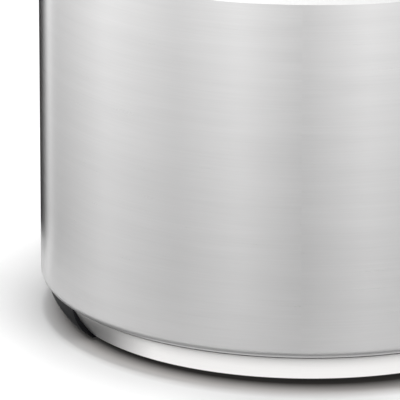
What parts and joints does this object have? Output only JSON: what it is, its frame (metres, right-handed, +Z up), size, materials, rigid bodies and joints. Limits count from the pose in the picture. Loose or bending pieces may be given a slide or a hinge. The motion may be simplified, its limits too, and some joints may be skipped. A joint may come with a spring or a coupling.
{
  "type": "rice cooker",
  "caption": "Round jar-type electric rice cooker with steel drum, black base, metal base trim, white hinged lid and front control panel.",
  "frame": {"origin": "on the drum's axis at floor level, under the feet", "axes": "+Z up, -Y towards the front with the control panel, +X to the right seen from the front"},
  "size_m": [0.3032, 0.2967, 0.283],
  "materials": {
    "brushed_steel": "fine horizontal brushed grain",
    "satin_metal": "bright satin with fine lines along its length",
    "black_plastic": "moulded, semi-gloss black",
    "white_plastic": "moulded, glossy white",
    "grey_plastic": "fine matte moulded grey",
    "smoked_window": "polished smoked acrylic",
    "display_glass": "flat display",
    "circuit_board": "solder-masked board",
    "zinc_sheet": "galvanised sheet",
    "cast_aluminium": "cast and faced",
    "dark_steel": "dark oxide",
    "spring_steel": "drawn wire",
    "non_stick": "non-stick coated",
    "silicone": "translucent moulded silicone",
    "rubber": "matte black rubber",
    "clear_cup": "frosted clear plastic"
  },
  "bodies": {
    "cooker_body": {"base_housing": "black_plastic", "base_front_trim": "satin_metal", "foot_rear_right": "rubber", "foot_rear_left": "rubber", "foot_front_left": "rubber", "foot_front_right": "rubber", "base_screw_1": "dark_steel", "base_screw_2": "dark_steel", "base_screw_3": "dark_steel", "base_screw_4": "dark_steel", "chassis_ring": "zinc_sheet", "support_skirt": "zinc_sheet", "outer_drum": "brushed_steel", "upper_collar": "white_plastic", "control_fascia": "white_plastic", "display_window": "smoked_window", "display_module": "display_glass", "control_board": "circuit_board", "inner_liner": "zinc_sheet", "inner_pot": "non_stick", "heating_plate": "cast_aluminium", "heating_element": "dark_steel", "side_heater_band": "cast_aluminium", "thermal_fuse": "spring_steel", "sensor_holder": "zinc_sheet", "sensor_spring": "spring_steel", "power_board": "circuit_board", "power_transformer": "dark_steel", "power_relay": "black_plastic", "power_inlet": "black_plastic", "hinge_bracket": "white_plastic", "hinge_pin": "spring_steel", "hinge_spring": "spring_steel", "latch_pin": "spring_steel", "latch_spring": "spring_steel", "handle_pivot_right": "black_plastic", "handle_pivot_left": "black_plastic"},
    "lid": {"lid_outer": "white_plastic", "lid_top_plate": "brushed_steel", "lid_frame": "grey_plastic", "inner_lid": "brushed_steel", "lid_gasket": "silicone", "steam_tube": "silicone"},
    "vent_cap": {"steam_vent_cap": "grey_plastic"},
    "handle": {"carry_handle": "black_plastic"},
    "release": {"release_button": "grey_plastic"},
    "hook": {"latch_hook": "dark_steel"},
    "drip_cup": {"condensate_cup": "clear_cup"},
    "sensor": {"sensor_cap": "cast_aluminium"},
    "key_menu": {"button_menu": "grey_plastic"},
    "key_timer": {"button_timer": "grey_plastic"},
    "key_hour": {"button_hour": "grey_plastic"},
    "key_minute": {"button_minute": "grey_plastic"},
    "key_warm": {"button_warm": "grey_plastic"},
    "key_start": {"button_start": "grey_plastic"}
  },
  "joints": [
    {"name": "lid_hinge", "type": "hinge", "parent": "cooker_body", "child": "lid", "pos_m": [0, 0.1368, 0.2512], "axis": [-1, 0, 0], "range_deg": [0, 90]},
    {"name": "vent_cap_lift", "type": "slide", "parent": "lid", "child": "vent_cap", "axis": [0, 0, 1], "range_m": [0, 0.02]},
    {"name": "handle_pivot", "type": "hinge", "parent": "cooker_body", "child": "handle", "pos_m": [0, 0, 0.236], "axis": [1, 0, 0], "range_deg": [0, 100]},
    {"name": "release_slide", "type": "slide", "parent": "cooker_body", "child": "release", "axis": [0, 1, 0], "range_m": [0, 0.002], "stiffness_N_per_m": 900, "deforming": ["latch_spring"]},
    {"name": "hook_pivot", "type": "hinge", "parent": "cooker_body", "child": "hook", "pos_m": [0, -0.1286, 0.2416], "axis": [1, 0, 0], "range_deg": [0, 20.7]},
    {"name": "drip_cup_slide", "type": "slide", "parent": "cooker_body", "child": "drip_cup", "axis": [0, 1, 0], "range_m": [0, 0.03]},
    {"name": "sensor_travel", "type": "slide", "parent": "cooker_body", "child": "sensor", "axis": [0, 0, 1], "range_m": [-0.002, 0], "stiffness_N_per_m": 600, "springref_m": 0.0005, "deforming": ["sensor_spring"]},
    {"name": "menu_press", "type": "slide", "parent": "cooker_body", "child": "key_menu", "axis": [0.3584, 0.9336, 0], "range_m": [0, 0.0008], "stiffness_N_per_m": 1500},
    {"name": "timer_press", "type": "slide", "parent": "cooker_body", "child": "key_timer", "axis": [0.3584, 0.9336, 0], "range_m": [0, 0.0008], "stiffness_N_per_m": 1500},
    {"name": "hour_press", "type": "slide", "parent": "cooker_body", "child": "key_hour", "axis": [0.1045, 0.9945, 0], "range_m": [0, 0.0008], "stiffness_N_per_m": 1500},
    {"name": "minute_press", "type": "slide", "parent": "cooker_body", "child": "key_minute", "axis": [-0.1045, 0.9945, 0], "range_m": [0, 0.0008], "stiffness_N_per_m": 1500},
    {"name": "warm_press", "type": "slide", "parent": "cooker_body", "child": "key_warm", "axis": [-0.3584, 0.9336, 0], "range_m": [0, 0.0008], "stiffness_N_per_m": 1500},
    {"name": "start_press", "type": "slide", "parent": "cooker_body", "child": "key_start", "axis": [-0.3584, 0.9336, 0], "range_m": [0, 0.0008], "stiffness_N_per_m": 1500}
  ],
  "couplings": [
    {"joint": "hook_pivot", "follows": "release_slide", "rad_per_m": 180}
  ]
}
